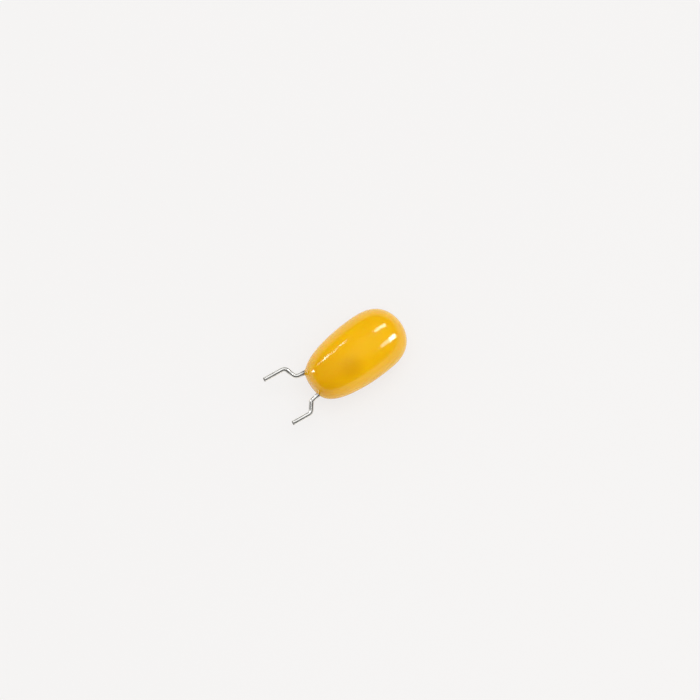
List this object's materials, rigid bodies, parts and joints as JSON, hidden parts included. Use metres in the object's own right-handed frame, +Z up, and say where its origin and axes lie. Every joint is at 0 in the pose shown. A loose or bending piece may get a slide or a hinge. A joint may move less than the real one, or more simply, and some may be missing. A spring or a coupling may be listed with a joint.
{
  "type": "tantalum capacitor",
  "caption": "Yellow resin-dipped bead capacitor lying on its side, with two stiff round wire leads formed apart for board holes.",
  "frame": {"origin": "on the floor under the middle of the whole part as it lies, leads included", "axes": "+X along the straight ends of the leads, from the cut tips towards the resin bead; +Y across the leads, towards the negative lead; +Z up"},
  "size_m": [0.014, 0.0064, 0.0057],
  "materials": {
    "epoxy_resin": "glossy",
    "sintered_tantalum": "matte",
    "tantalum_wire": "satin",
    "white_plastic": "matte",
    "manganese_dioxide": "matte",
    "graphite_coat": "matte",
    "silver_paint": "satin",
    "solder": "satin",
    "tinned_wire": "bright"
  },
  "bodies": {
    "root": {"resin_coat": "epoxy_resin", "anode_slug": "sintered_tantalum", "anode_wire": "tantalum_wire", "insulating_washer": "white_plastic", "manganese_dioxide_layer": "manganese_dioxide", "graphite_layer": "graphite_coat", "silver_layer": "silver_paint", "solder_joint": "solder", "positive_lead": "tinned_wire", "negative_lead": "tinned_wire"}
  },
  "joints": []
}
